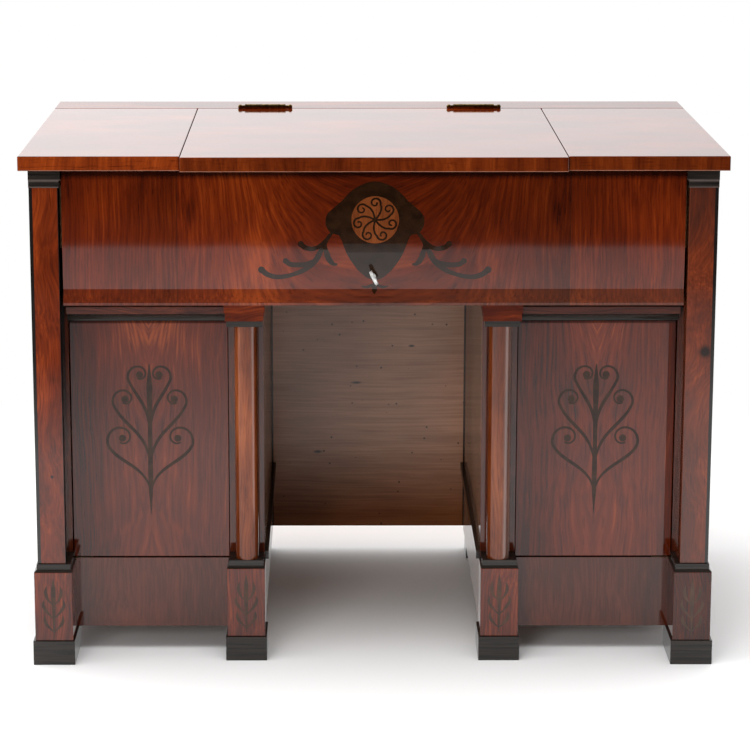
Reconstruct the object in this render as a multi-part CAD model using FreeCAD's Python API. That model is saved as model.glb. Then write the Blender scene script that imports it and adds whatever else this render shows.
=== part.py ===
import FreeCAD, Part
import math
import os

# A mahogany dressing desk with ebonised mouldings: a centre lid with a mirror under it, two side flaps,
# a key-locked frieze drawer and two pedestal cupboards either side of a kneehole. Millimetres, +Z up.
# The front faces -Y. The origin is on the floor, under the middle of the desk.

V = FreeCAD.Vector
X_AXIS = V(1, 0, 0)
Y_AXIS = V(0, 1, 0)
Z_AXIS = V(0, 0, 1)
ORIGIN = V(0, 0, 0)
os.makedirs("parts", exist_ok=True)

# Driving sizes of the whole desk. The height is to the top surface, without the lid's hinge barrels.
desk_width = 1100
desk_depth = 703
desk_height = 823.5

# The top: a centre lid that stands a little proud of the two flaps, and a fixed strip at the back.
top_thickness = 22.6
top_easing = 1.6
lid_width = 600
lid_lip = 12
seam = 1.2
hinge_seam = 2.6
strip_depth = 97.7

# The carcase boards.
side_overhang = 14.5
back_overhang = 8
side_thickness = 20
wall_thickness = 20
back_thickness = 15
back_clearance = 6
kneehole_width = 349
carrier_thickness = 12
floor_thickness = 13.5
shelf_thickness = 12
shelf_height_share = 0.5
inner_wall = 16
well_wall = 12
well_floor_thickness = 10
well_depth = 118.9

# The front frame that the doors close in, and how far the pilasters stand before it.
pilaster_setback = 18
pilaster_width = 45
door_recess = 70
frame_thickness = 20
jamb_show = 5.3
stile_width = 56
lower_rail_height = 115.5
top_rail_height = 23.5

# Heights up the supports, which the pilasters and the columns share.
foot_height = 40
plinth_height = 113.4
base_height = 12.5
pilaster_capital_height = 28.3
column_capital_height = 27.2
necking_height = 9.1

# The frieze, which is the front of the drawer.
frieze_height = 214.9
drawer_clearance = 1
front_board = 26

# One overrun serves every cut, and one small radius eases the square blocks.
overrun = 5
block_easing = 0.8

# Planes that the pieces share, from left-right middle, from the front and from the floor.
half_width = desk_width / 2
half_lid = lid_width / 2
side_out = half_width - side_overhang
side_in = side_out - side_thickness
pilaster_in = side_out - pilaster_width
jamb_in = pilaster_in - jamb_show
wall_in = kneehole_width / 2
wall_out = wall_in + wall_thickness
stile_out = wall_in + stile_width

lid_front = -desk_depth / 2
flap_front = lid_front + lid_lip
top_back = desk_depth / 2
strip_front = top_back - strip_depth
lid_back = strip_front - hinge_seam
pilaster_front = flap_front + pilaster_setback
door_front = pilaster_front + door_recess
frame_back = door_front + frame_thickness
carcase_back = top_back - back_overhang
panel_front = carcase_back - back_thickness

top_level = desk_height
under_top = top_level - top_thickness
frieze_level = under_top - frieze_height
carrier_top = frieze_level - drawer_clearance
carrier_level = carrier_top - carrier_thickness
well_level = under_top - well_depth
well_underside = well_level - well_floor_thickness
plinth_top = foot_height + plinth_height
base_top = plinth_top + base_height
rail_top = foot_height + lower_rail_height
top_rail_level = carrier_level - top_rail_height
pilaster_top = under_top - pilaster_capital_height
capital_level = carrier_top - column_capital_height
column_top = capital_level - necking_height


def block(x, y, z):
    """A square block between the two ends given for each direction."""
    return Part.makeBox(x[1] - x[0], y[1] - y[0], z[1] - z[0], V(x[0], y[0], z[0]))


def eased(shape, radius=block_easing):
    """The shape with every edge rounded a little, as hand-finished blocks are."""
    return shape.makeFillet(radius, shape.Edges)


def mirrored(shape):
    """The same piece on the left side of the desk."""
    return shape.mirror(ORIGIN, X_AXIS)


def rod(centre, radius, length, axis):
    """A round rod that starts at a point and runs along an axis."""
    return Part.makeCylinder(radius, length, centre, axis)


def tapered_block(lower, upper):
    """A block whose foot and head are two rectangles, each as its x ends, y ends and height."""
    wires = []
    for x, y, z in (lower, upper):
        corners = [V(x[0], y[0], z), V(x[1], y[0], z), V(x[1], y[1], z), V(x[0], y[1], z)]
        wires.append(Part.makePolygon(corners + corners[:1]))
    return Part.makeLoft(wires, True, True)


def write(name, *solids):
    """Save one node: a single solid, or a group of like ones."""
    shape = solids[0] if len(solids) == 1 else Part.makeCompound(list(solids))
    shape.exportStep("parts/" + name + ".step")


def write_sides(name, right):
    """Save the right-hand piece and its mirror image as two nodes."""
    write(name + "_right", right)
    write(name + "_left", mirrored(right))


def write_both(name, *rights):
    """Save right-hand pieces and their mirror images as one node."""
    write(name, *rights, *[mirrored(right) for right in rights])


# Pilasters: square posts at the front corners, each with a plinth block, a base, a capital and a foot.

pilaster_plinth_reach = 5.5
pilaster_plinth_front = 10
pilaster_plinth_width = 60.5
pilaster_foot_reach = 3.5
pilaster_foot_front = 7
foot_behind_frame = 2
base_in_reach = 7.5
base_out_reach = 1.5
base_front = 14.5
base_chamfer = 4
capital_in_reach = 4.5
capital_front = 12
capital_step = 2.5
capital_step_share = 0.42


def pilaster_post():
    return eased(block((pilaster_in, side_out), (pilaster_front, door_front), (base_top, pilaster_top)))


def pilaster_plinth_ends():
    outer = side_out + pilaster_plinth_reach
    return outer - pilaster_plinth_width, outer


def pilaster_plinth():
    front = flap_front + pilaster_plinth_front
    return eased(block(pilaster_plinth_ends(), (front, door_front), (foot_height, plinth_top)))


def pilaster_foot():
    inner, outer = pilaster_plinth_ends()
    reach = (inner - pilaster_foot_reach + block_easing, outer + pilaster_foot_reach)
    return eased(block(reach, (flap_front + pilaster_foot_front, frame_back + foot_behind_frame),
                       (0, foot_height)))


def pilaster_base():
    """A flat black block, chamfered out to the plinth below it."""
    inner, outer = pilaster_in - base_in_reach, side_out + base_out_reach
    front = flap_front + base_front
    low = (pilaster_plinth_ends(), (flap_front + pilaster_plinth_front, door_front), plinth_top)
    middle = ((inner, outer), (front, door_front), plinth_top + base_chamfer)
    upper = block((inner, outer), (front, door_front), (middle[2], base_top))
    return tapered_block(low, middle).fuse(upper).removeSplitter()


def pilaster_capital():
    """Two flat black steps, the upper one the larger."""
    step_height = pilaster_capital_height * capital_step_share
    inner = pilaster_in - capital_in_reach
    front = flap_front + capital_front
    upper = block((inner, side_out), (front, door_front), (pilaster_top + step_height, under_top))
    lower = block((inner + capital_step, side_out), (front + capital_step, door_front),
                  (pilaster_top, pilaster_top + step_height))
    return upper.fuse(lower).removeSplitter()


write_sides("pilaster", pilaster_post())
write_sides("pilaster_plinth", pilaster_plinth())
write_both("pilaster_bases", pilaster_base())
write_both("pilaster_capitals", pilaster_capital())


# Columns: round shafts that stand before the kneehole walls, between square blocks.

column_from_wall = 28.8
column_radius = 18.5
shaft_setback = 56
shaft_inward = 1.8
column_foot_half = 33
column_foot_front = 28.3
column_plinth_half = 30.3
column_plinth_front = 32
column_base_half = 27.8
column_base_front = 36
necking_half = 28
necking_front = 33
capital_half = 32
column_capital_front = 30
capital_tier_inset = 1.8
capital_tier_share = 0.48

column_x = wall_in + column_from_wall


def column_block(half, front, low, high, back=door_front):
    """A square member of the column, centred on the shaft and set back from the flaps' edge."""
    return block((column_x - half, column_x + half), (flap_front + front, back), (low, high))


def column_base():
    """The black block under the shaft, chamfered out to the plinth."""
    wide = (column_x - column_plinth_half, column_x + column_plinth_half)
    narrow = (column_x - column_base_half, column_x + column_base_half)
    low = (wide, (flap_front + column_plinth_front, door_front), plinth_top)
    middle = (narrow, (flap_front + column_base_front, door_front), plinth_top + base_chamfer)
    upper = column_block(column_base_half, column_base_front, middle[2], base_top)
    return tapered_block(low, middle).fuse(upper).removeSplitter()


def column_foot():
    return eased(column_block(column_foot_half, column_foot_front, 0, foot_height,
                              frame_back + foot_behind_frame))


def column_capital():
    """A square block in two tiers, the upper one a little wider, over the black necking."""
    tier_level = capital_level + column_capital_height * capital_tier_share
    upper = column_block(capital_half, column_capital_front, tier_level, carrier_top)
    lower = column_block(capital_half - capital_tier_inset, column_capital_front + capital_tier_inset,
                         capital_level, tier_level)
    return upper.fuse(lower).removeSplitter()


shaft_foot = V(column_x - shaft_inward, flap_front + shaft_setback, base_top)
write_sides("column", rod(shaft_foot, column_radius, column_top - base_top, Z_AXIS))
write_sides("column_plinth", eased(column_block(column_plinth_half, column_plinth_front,
                                                foot_height, plinth_top)))
write_both("column_bases", column_base())
write_both("column_neckings", column_block(necking_half, necking_front, column_top, capital_level))
write_both("column_capitals", column_capital())
write_both("front_feet", pilaster_foot(), column_foot())


# Rear feet: plain blocks under the back ends of the sides and of the kneehole walls.

rear_foot_depth = 72
rear_foot_width = 58
rear_foot_inset = 3


def rear_foot(x):
    y = (carcase_back - rear_foot_depth, carcase_back - rear_foot_inset)
    return eased(block(x, y, (0, foot_height)))


write_both("rear_feet",
           rear_foot((side_out - rear_foot_width, side_out - rear_foot_inset)),
           rear_foot((wall_in + rear_foot_inset, wall_in + rear_foot_width)))


# Carcase: the sides, the kneehole walls, the back, the front frames and the boards inside the pedestals.


def side_panel():
    return block((side_in, side_out), (door_front, carcase_back), (foot_height, under_top))


def shelf():
    """The cupboard shelf, halfway up the door opening, which the closed door stops against."""
    level = rail_top + (top_rail_level - rail_top) * shelf_height_share
    return block((wall_out, side_in), (frame_back + seam, panel_front), (level, level + shelf_thickness))


write_sides("kneehole_wall", block((wall_in, wall_out), (frame_back, panel_front),
                                   (foot_height, carrier_level)))
write("back_panel", block((-side_in, side_in), (panel_front, carcase_back),
                          (foot_height + back_clearance, under_top)))
write_both("cupboard_floors", block((wall_out, side_in), (frame_back, panel_front),
                                    (rail_top - floor_thickness, rail_top)))
write_both("cupboard_shelves", shelf())
write_both("lower_rails", block((stile_out, jamb_in), (door_front, frame_back), (foot_height, rail_top)))
write_both("cupboard_top_rails", block((stile_out, jamb_in), (door_front, frame_back),
                                       (top_rail_level, carrier_level)))
write_both("door_jambs", block((jamb_in, side_in), (door_front, frame_back), (foot_height, carrier_level)))
write_both("column_stiles", block((wall_in, stile_out), (door_front, frame_back),
                                  (foot_height, carrier_level)))
write("carrier_board", block((-side_in, side_in), (door_front, panel_front), (carrier_level, carrier_top)))


# Mouldings: a mahogany fillet and a black hollow over each door, and a black base along the kneehole.

fillet_front = 52
fillet_height = 12
fillet_drop = 7.5
hollow_top_front = 56
hollow_foot_front = 80
hollow_depth_share = 0.36
kneehole_moulding_reach = 6.4

fillet_top = carrier_top - fillet_drop
fillet_level = fillet_top - fillet_height
moulding_ends = (column_x + capital_half, jamb_in)


def hollow_moulding():
    """A black cavetto that runs back from under the fillet to the top of the door."""
    front = flap_front + hollow_top_front
    foot = flap_front + hollow_foot_front
    x = moulding_ends[0]
    head = V(x, front, fillet_level)
    toe = V(x, foot, top_rail_level)
    middle = V(x, foot - (foot - front) * hollow_depth_share,
               fillet_level - (fillet_level - top_rail_level) * hollow_depth_share)
    edges = [Part.Arc(head, middle, toe).toShape(),
             Part.LineSegment(toe, V(x, door_front, top_rail_level)).toShape(),
             Part.LineSegment(V(x, door_front, top_rail_level), V(x, door_front, fillet_level)).toShape(),
             Part.LineSegment(V(x, door_front, fillet_level), head).toShape()]
    return Part.Face(Part.Wire(edges)).extrude(X_AXIS * (moulding_ends[1] - moulding_ends[0]))


write_both("door_fillets", eased(block(moulding_ends, (flap_front + fillet_front, door_front),
                                       (fillet_level, fillet_top))))
write_both("door_hollows", hollow_moulding())
write_both("kneehole_base_mouldings", block((wall_in - kneehole_moulding_reach, wall_in),
                                            (door_front, panel_front), (plinth_top, base_top)))


# Wells: the box under the lid and the flaps, with two partitions under the lid's side seams.

inner_front_setback = 50
front_wall_front = flap_front + inner_front_setback
front_wall_back = front_wall_front + inner_wall
bolt_mortise_half = 9
bolt_mortise_depth = 12
bolt_mortise_width = 9


def well_floor():
    """The floor board, notched round the pilasters at its front corners."""
    main = block((-side_in, side_in), (door_front, panel_front), (well_underside, well_level))
    tongue = block((-pilaster_in, pilaster_in), (front_wall_back, door_front), (well_underside, well_level))
    return main.fuse(tongue).removeSplitter()


def well_front_wall():
    """The wall behind the drawer front, notched round the capitals and mortised for the lock's bolt."""
    wall = block((-pilaster_in, pilaster_in), (front_wall_front, front_wall_back),
                 (well_underside, under_top))
    mortise = block((-bolt_mortise_half, bolt_mortise_half),
                    (front_wall_front - overrun, front_wall_front + bolt_mortise_width),
                    (well_underside - overrun, well_underside + bolt_mortise_depth))
    return wall.cut([mortise, pilaster_capital(), mirrored(pilaster_capital())])


well_back = strip_front + well_wall
partition = block((half_lid - well_wall / 2, half_lid + well_wall / 2), (front_wall_back, strip_front),
                  (well_level, under_top))
write("well_floor", well_floor())
write("well_front_wall", well_front_wall())
write("well_back_wall", block((-side_in, side_in), (strip_front, well_back), (well_level, under_top)))
write_both("well_partitions", partition)


# Drawer: a full-height front with a shallow box behind its lower part, running on the carrier board.

front_end_gap = 0.6
front_bulge = 3
front_top_setback = 24
cove_height = 25
lip_reach = 5.5
lip_height = 4
cove_middle_share = 0.25
drawer_side_thickness = 12
drawer_box_height = 82.5
drawer_back_gap = 69
drawer_box_inset = 2
drawer_bottom_thickness = 8
drawer_bottom_rise = 5
guide_height = 15
guide_gap = 0.8
runner_gap = 0.5

front_half = pilaster_in - capital_in_reach - front_end_gap
front_face = flap_front + front_top_setback
front_back = front_face + front_board - front_bulge
front_top = under_top - drawer_clearance
box_half = front_half - drawer_box_inset
box_inner = box_half - drawer_side_thickness
box_level = carrier_top + runner_gap
box_top = box_level + drawer_box_height
box_back = panel_front - drawer_back_gap

# The key turns on this line through the front. The lock case sits on the back of the front board.
key_height = 47.5
keyhole_level = frieze_level + key_height
keyhole_radius = 3.2
keyhole_slot_width = 3
keyhole_slot_drop = 11


def front_profile():
    """The section of the drawer front: a slight swell, then a hollow that flares out to a lip."""
    x = -front_half
    cove_top = frieze_level + cove_height
    lip_front = front_face - lip_reach
    lip_top = frieze_level + lip_height
    top_front = V(x, front_face, front_top)
    swell = V(x, front_face - front_bulge, (front_top + cove_top) / 2)
    cove_start = V(x, front_face, cove_top)
    cove_middle = V(x, front_face - lip_reach * cove_middle_share, (cove_top + lip_top) / 2)
    lip = V(x, lip_front, lip_top)
    foot = V(x, lip_front, frieze_level)
    back_foot = V(x, front_back, frieze_level)
    back_top = V(x, front_back, front_top)
    return Part.Wire([Part.Arc(top_front, swell, cove_start).toShape(),
                      Part.Arc(cove_start, cove_middle, lip).toShape(),
                      Part.LineSegment(lip, foot).toShape(),
                      Part.LineSegment(foot, back_foot).toShape(),
                      Part.LineSegment(back_foot, back_top).toShape(),
                      Part.LineSegment(back_top, top_front).toShape()])


def keyhole_cutter():
    """A round hole with a slot below it, right through the front board and the lock's plate."""
    start = front_face - front_bulge - overrun
    length = front_board + 2 * overrun
    hole = rod(V(0, start, keyhole_level), keyhole_radius, length, Y_AXIS)
    slot = block((-keyhole_slot_width / 2, keyhole_slot_width / 2), (start, start + length),
                 (keyhole_level - keyhole_slot_drop, keyhole_level))
    return hole.fuse(slot)


def drawer_front():
    board = Part.Face(front_profile()).extrude(X_AXIS * 2 * front_half)
    return board.cut(keyhole_cutter())


def drawer_side():
    return block((box_inner, box_half), (front_back, box_back), (box_level, box_top))


def drawer_back():
    return block((-box_inner, box_inner), (box_back - drawer_side_thickness, box_back),
                 (box_level, box_top))


def drawer_bottom():
    level = box_level + drawer_bottom_rise
    return block((-box_inner, box_inner), (front_back, box_back - drawer_side_thickness),
                 (level, level + drawer_bottom_thickness))


write_both("drawer_sides", drawer_side())
write("drawer_back", drawer_back())
write("drawer_bottom", drawer_bottom())
write_both("drawer_guides", block((box_half + guide_gap, side_in), (door_front, panel_front),
                                  (carrier_top, carrier_top + guide_height)))


# Lock: a steel case on the back of the drawer front, a bolt that rises from it, and the key.

case_half = 30
case_depth = 12
case_wall = 1.5
case_drop = 17
case_gap = 1.5
bolt_half = 7
bolt_thickness = 3
bolt_gap = 0.4
key_radius = 2.4
key_bit_reach = 8.5
key_bit_thickness = 2
key_bit_length = 3.5
key_stand_off = 12.5
key_collar_radius = 3.6
key_collar_length = 3
bow_outer = 11.8
bow_inner = 7.4
bow_thickness = 4.4
bow_tilt = 28
screw_radius = 1.6
screw_head_radius = 3.2
screw_head_thickness = 1.4
screw_bite = 12
screw_inset = 7
screw_play = 0.05

case_level = keyhole_level - case_drop
case_top = well_underside - case_gap
case_back = front_back + case_depth
case_inside = (front_back + case_wall, case_back - case_wall)


def bolt_stack(grow):
    """The bolt's plate, which stands behind the key's bit and rises out of the case."""
    back = case_inside[1] - bolt_gap + grow
    return block((-bolt_half - grow, bolt_half + grow),
                 (case_inside[1] - bolt_gap - bolt_thickness - grow, back),
                 (case_level + case_wall + bolt_gap, case_top))


def lock_screw_shanks(radius):
    """The four round shanks near the case's corners, from its back into the front board."""
    start = front_back - screw_bite
    shanks = []
    for x in (screw_inset - case_half, case_half - screw_inset):
        for z in (case_level + screw_inset, case_top - screw_inset):
            shanks.append(rod(V(x, start, z), radius, case_back - start, Y_AXIS))
    return shanks


def lock_screws():
    """Four round-headed screws, whose heads bear on the back of the case."""
    screws = []
    for shank in lock_screw_shanks(screw_radius):
        middle = shank.BoundBox.Center
        head = rod(V(middle.x, case_back, middle.z), screw_head_radius, screw_head_thickness, Y_AXIS)
        screws.append(shank.fuse(head).removeSplitter())
    return screws


def lock_case():
    """A thin box, open where the key goes in and where the bolt comes out."""
    shell = block((-case_half, case_half), (front_back, case_back), (case_level, case_top))
    hollow = block((case_wall - case_half, case_half - case_wall), case_inside,
                   (case_level + case_wall, case_top - case_wall))
    bolt_slot = bolt_stack(bolt_gap)
    bolt_slot = bolt_slot.fuse(bolt_slot.translated(Z_AXIS * overrun))
    front_plate = block((-case_half, case_half), (front_back, case_inside[0]), (case_level, case_top))
    openings = [hollow, bolt_slot, keyhole_cutter().common(front_plate)]
    return shell.cut(openings + lock_screw_shanks(screw_radius + screw_play))


def key():
    """A ring bow, edge on to the front, on a round shank with one bit, as it hangs in the lock."""
    bit_front = case_inside[0] + bolt_gap
    shank_end = bit_front + key_bit_length + bolt_gap
    lip_plane = front_face - front_bulge
    bow_centre = lip_plane - key_stand_off - bow_outer
    start = bow_centre + (bow_inner + bow_outer) / 2
    shank = rod(V(0, start, keyhole_level), key_radius, shank_end - start, Y_AXIS)
    collar_start = V(0, lip_plane - key_stand_off / 2 - key_collar_length, keyhole_level)
    collar = rod(collar_start, key_collar_radius, key_collar_length, Y_AXIS)
    bow_start = V(-bow_thickness / 2, bow_centre, keyhole_level)
    bow = rod(bow_start, bow_outer, bow_thickness, X_AXIS).cut(
        rod(bow_start, bow_inner, bow_thickness, X_AXIS))
    bit = block((-key_bit_thickness / 2, key_bit_thickness / 2), (bit_front, bit_front + key_bit_length),
                (keyhole_level - key_bit_reach, keyhole_level))
    whole = shank.fuse([collar, bow, bit]).removeSplitter()
    whole.rotate(V(0, 0, keyhole_level), Y_AXIS, -bow_tilt)
    return whole


write("drawer_front", drawer_front().cut(lock_screw_shanks(screw_radius + screw_play)))
write("lock_case", lock_case())
write("lock_screws", *lock_screws())
write("lock_bolt", bolt_stack(0))
write("key", key())


# Hinges: alternate knuckles on one pin, with a leaf joined to the knuckles of each side.


def knuckles(start, axis, length, count, radius, hole, gap, odd):
    """Every second knuckle of a barrel that starts at a point: the odd ones or the even ones."""
    pitch = length / count
    pieces = []
    for number in range(odd, count, 2):
        foot = start + axis * (number * pitch + gap / 2)
        pieces.append(rod(foot, radius, pitch - gap, axis).cut(rod(foot, hole, pitch - gap, axis)))
    return pieces


def leaf(plate, tabs, barrel, pin_bore):
    """A leaf: its plate, the tabs that reach the barrel, and its own knuckles, bored for the pin."""
    return plate.fuse(tabs + barrel).removeSplitter().cut(pin_bore)


# Lid hinges: brass barrels that stand on the seam, with turned ends and leaves let down into it.

lid_hinge_x = 182
lid_barrel_length = 71
lid_hinge_length = 95
lid_barrel_radius = 4.5
lid_hinge_rise = 3
lid_knuckles = 5
lid_pin_radius = 2
pin_clearance = 0.05
knuckle_gap = 0.2
leaf_thickness = 1.2
lid_leaf_length = 68
lid_leaf_drop = 19
barrel_clearance = 0.4
finial_neck_radius = 2.6
knob_radius_share = 0.9

lid_axis_y = (lid_back + strip_front) / 2
lid_axis_z = top_level + lid_hinge_rise


def lid_barrel_start():
    return V(lid_hinge_x - lid_barrel_length / 2, lid_axis_y, lid_axis_z)


def lid_hinge_bed():
    """The shallow groove that the barrel and its turned ends lie in."""
    start = V(lid_hinge_x - lid_hinge_length / 2 - knuckle_gap, lid_axis_y, lid_axis_z)
    return rod(start, lid_barrel_radius + barrel_clearance, lid_hinge_length + 2 * knuckle_gap, X_AXIS)


def lid_leaf(odd, y):
    """One leaf of a lid hinge: it hangs in the seam, between the two y values."""
    start = lid_barrel_start()
    shoulder = lid_axis_z - lid_barrel_radius - barrel_clearance
    half_leaf = lid_leaf_length / 2
    plate = block((lid_hinge_x - half_leaf, lid_hinge_x + half_leaf), y,
                  (top_level - lid_leaf_drop, shoulder))
    pitch = lid_barrel_length / lid_knuckles
    tabs = []
    for number in range(odd, lid_knuckles, 2):
        left = max(start.x + number * pitch + knuckle_gap / 2, lid_hinge_x - half_leaf)
        right = min(start.x + (number + 1) * pitch - knuckle_gap / 2, lid_hinge_x + half_leaf)
        tabs.append(block((left, right), y, (shoulder - leaf_thickness, lid_axis_z)))
    barrel = knuckles(start, X_AXIS, lid_barrel_length, lid_knuckles, lid_barrel_radius,
                      lid_pin_radius + pin_clearance, knuckle_gap, odd)
    bore = rod(start - X_AXIS * overrun, lid_pin_radius + pin_clearance,
               lid_barrel_length + 2 * overrun, X_AXIS)
    return leaf(plate, tabs, barrel, bore)


def lid_pin():
    """The pin, turned in one piece with a neck and a round knob at each end."""
    half_barrel = lid_barrel_length / 2
    tip = lid_hinge_length / 2
    knob_radius = lid_barrel_radius * knob_radius_share
    knob_centre = tip - knob_radius
    neck_end = knob_centre - math.sqrt(knob_radius ** 2 - finial_neck_radius ** 2)

    def at(x, radius):
        return V(lid_hinge_x + x, lid_axis_y, lid_axis_z + radius)

    def knob(side):
        return Part.Arc(at(side * tip, 0), at(side * knob_centre, knob_radius),
                        at(side * neck_end, finial_neck_radius)).toShape()

    steps = [at(neck_end, finial_neck_radius), at(half_barrel, finial_neck_radius),
             at(half_barrel, lid_pin_radius), at(-half_barrel, lid_pin_radius),
             at(-half_barrel, finial_neck_radius), at(-neck_end, finial_neck_radius)]
    edges = [Part.LineSegment(at(-tip, 0), at(tip, 0)).toShape(), knob(1)]
    edges += [Part.LineSegment(a, b).toShape() for a, b in zip(steps, steps[1:])]
    edges.append(knob(-1))
    return Part.Face(Part.Wire(edges)).revolve(at(0, 0), X_AXIS, 360)


strip_leaf_y = (strip_front - leaf_thickness, strip_front)
lid_leaf_y = (lid_back, lid_back + leaf_thickness)


# Flap hinges: small barrels outside the sides, hidden under the top's overhang.

flap_hinge_front_inset = 140
flap_hinge_back_inset = 120.7
flap_barrel_length = 60
flap_barrel_radius = 3.2
flap_knuckles = 3
flap_pin_radius = 1.5
flap_leaf_drop = 24
flap_leaf_reach = 24

flap_hinge_setbacks = (flap_hinge_front_inset, lid_back - flap_front - flap_hinge_back_inset)
flap_axis_x = side_out + barrel_clearance + flap_barrel_radius
flap_axis_z = under_top - barrel_clearance - flap_barrel_radius


def flap_barrel_start(setback):
    return V(flap_axis_x, flap_front + setback - flap_barrel_length / 2, flap_axis_z)


def flap_tabs(start, odd, x, z):
    """The tabs that join a flap hinge's leaf to its own knuckles."""
    pitch = flap_barrel_length / flap_knuckles
    tabs = []
    for number in range(odd, flap_knuckles, 2):
        foot = start.y + number * pitch
        tabs.append(block(x, (foot + knuckle_gap / 2, foot + pitch - knuckle_gap / 2), z))
    return tabs


def flap_side_leaf(setback):
    """The leaf let into the outside of the carcase side, with the two outer knuckles."""
    start = flap_barrel_start(setback)
    plate = block((side_out - leaf_thickness, side_out), (start.y, start.y + flap_barrel_length),
                  (flap_axis_z - flap_leaf_drop, flap_axis_z - flap_barrel_radius))
    tab_z = (flap_axis_z - flap_barrel_radius - leaf_thickness,
             flap_axis_z - flap_pin_radius - leaf_thickness / 2)
    tabs = flap_tabs(start, 0, (side_out - leaf_thickness, flap_axis_x), tab_z)
    barrel = knuckles(start, Y_AXIS, flap_barrel_length, flap_knuckles, flap_barrel_radius,
                      flap_pin_radius + pin_clearance, knuckle_gap, 0)
    bore = rod(start - Y_AXIS * overrun, flap_pin_radius + pin_clearance,
               flap_barrel_length + 2 * overrun, Y_AXIS)
    return leaf(plate, tabs, barrel, bore)


def flap_leaf(setback):
    """The leaf let into the underside of the flap, with the middle knuckle."""
    start = flap_barrel_start(setback)
    plate = block((flap_axis_x - flap_leaf_reach, flap_axis_x + leaf_thickness),
                  (start.y, start.y + flap_barrel_length), (under_top, under_top + leaf_thickness))
    tab_z = (flap_axis_z + flap_pin_radius + leaf_thickness / 2, under_top + leaf_thickness)
    tabs = flap_tabs(start, 1, (flap_axis_x - leaf_thickness, flap_axis_x + leaf_thickness), tab_z)
    barrel = knuckles(start, Y_AXIS, flap_barrel_length, flap_knuckles, flap_barrel_radius,
                      flap_pin_radius + pin_clearance, knuckle_gap, 1)
    bore = rod(start - Y_AXIS * overrun, flap_pin_radius + pin_clearance,
               flap_barrel_length + 2 * overrun, Y_AXIS)
    return leaf(plate, tabs, barrel, bore)


def flap_pin(setback):
    return rod(flap_barrel_start(setback), flap_pin_radius, flap_barrel_length, Y_AXIS)


def hinge_pocket(setback, x, z):
    """The mortise in the wood for a flap hinge's leaf."""
    start = flap_barrel_start(setback)
    return block(x, (start.y, start.y + flap_barrel_length), z)


write_both("lid_hinge_strip_leaves", lid_leaf(0, strip_leaf_y))
write_both("lid_hinge_lid_leaves", lid_leaf(1, lid_leaf_y))
write_both("hinge_pins", lid_pin(), *[flap_pin(setback) for setback in flap_hinge_setbacks])
write_both("flap_hinge_side_leaves", *[flap_side_leaf(setback) for setback in flap_hinge_setbacks])
right_flap_leaves = [flap_leaf(setback) for setback in flap_hinge_setbacks]
write("flap_hinge_leaves_right", *right_flap_leaves)
write("flap_hinge_leaves_left", *[mirrored(piece) for piece in right_flap_leaves])


# The sides, bored and let in for the flap hinges, are written here because they follow the hinges.


def hinged_side():
    side = side_panel()
    for setback in flap_hinge_setbacks:
        side = side.cut(hinge_pocket(setback, (side_out - leaf_thickness, side_out + overrun),
                                     (flap_axis_z - flap_leaf_drop, flap_axis_z)))
    return side


write_sides("side_panel", hinged_side())


# The top: lid, flaps and strip, eased along their upper edges.


def top_board(x, y):
    """A board of the top, with its upper edges and its upright corners rounded a little."""
    board = block(x, y, (under_top, top_level))
    edges = [edge for edge in board.Edges if edge.CenterOfMass.z > under_top + top_easing]
    return board.makeFillet(top_easing, edges)


def lid():
    half = half_lid - seam / 2
    board = top_board((-half, half), (lid_front, lid_back))
    return board.cut([lid_hinge_bed(), mirrored(lid_hinge_bed())])


def flap():
    board = top_board((half_lid + seam / 2, half_width), (flap_front, lid_back))
    for setback in flap_hinge_setbacks:
        pocket_x = (flap_axis_x - flap_leaf_reach, flap_axis_x + leaf_thickness)
        board = board.cut(hinge_pocket(setback, pocket_x, (under_top - overrun, under_top + leaf_thickness)))
    return board


def rear_strip():
    board = top_board((-half_width, half_width), (strip_front, top_back))
    return board.cut([lid_hinge_bed(), mirrored(lid_hinge_bed())])


write("lid", lid())
write_sides("flap", flap())
write("rear_top_strip", rear_strip())


# Mirror: a glass plate held under the lid by a thin moulded frame, clear of the partitions.

mirror_margin = 34
mirror_front_margin = 100
mirror_back_margin = 46
mirror_frame_width = 30
mirror_frame_thickness = 9
mirror_thickness = 4
mirror_lap = 6
mirror_play = 0.3

frame_half = half_lid - mirror_margin
frame_y = (lid_front + mirror_front_margin, lid_back - mirror_back_margin)


def mirror_sheet(inset, low, high):
    """A flat rectangle inside the mirror frame's outer edge."""
    return block((inset - frame_half, frame_half - inset), (frame_y[0] + inset, frame_y[1] - inset),
                 (low, high))


def mirror_frame():
    glass_inset = mirror_frame_width - mirror_lap - mirror_play
    outer = mirror_sheet(0, under_top - mirror_frame_thickness, under_top)
    opening = mirror_sheet(mirror_frame_width, under_top - mirror_frame_thickness - overrun, under_top)
    rebate = mirror_sheet(glass_inset, under_top - mirror_thickness, under_top + overrun)
    return outer.cut(opening).cut(rebate)


write("mirror_frame", mirror_frame())
write("mirror", mirror_sheet(mirror_frame_width - mirror_lap, under_top - mirror_thickness, under_top))


# Doors: flush boards on pivot hinges at their outer corners, clear of the pilaster bases when open.

door_end_gap = 1.7
door_free_gap = 1
door_foot_gap = 2.6
door_head_gap = 2
pivot_inset = 5.5
pivot_depth = 4
pivot_plate_thickness = 1.2
pivot_plate_length = 30
pivot_plate_width = 13
pivot_plate_margin = 2
pivot_radius = 2.2
pivot_rise = 6
pivot_play = 0.3

door_out = jamb_in - door_end_gap
door_in = stile_out + door_free_gap
door_level = rail_top + door_foot_gap
door_top = top_rail_level - door_head_gap
pivot_x = door_out - pivot_inset
pivot_y = door_front + pivot_depth


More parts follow.
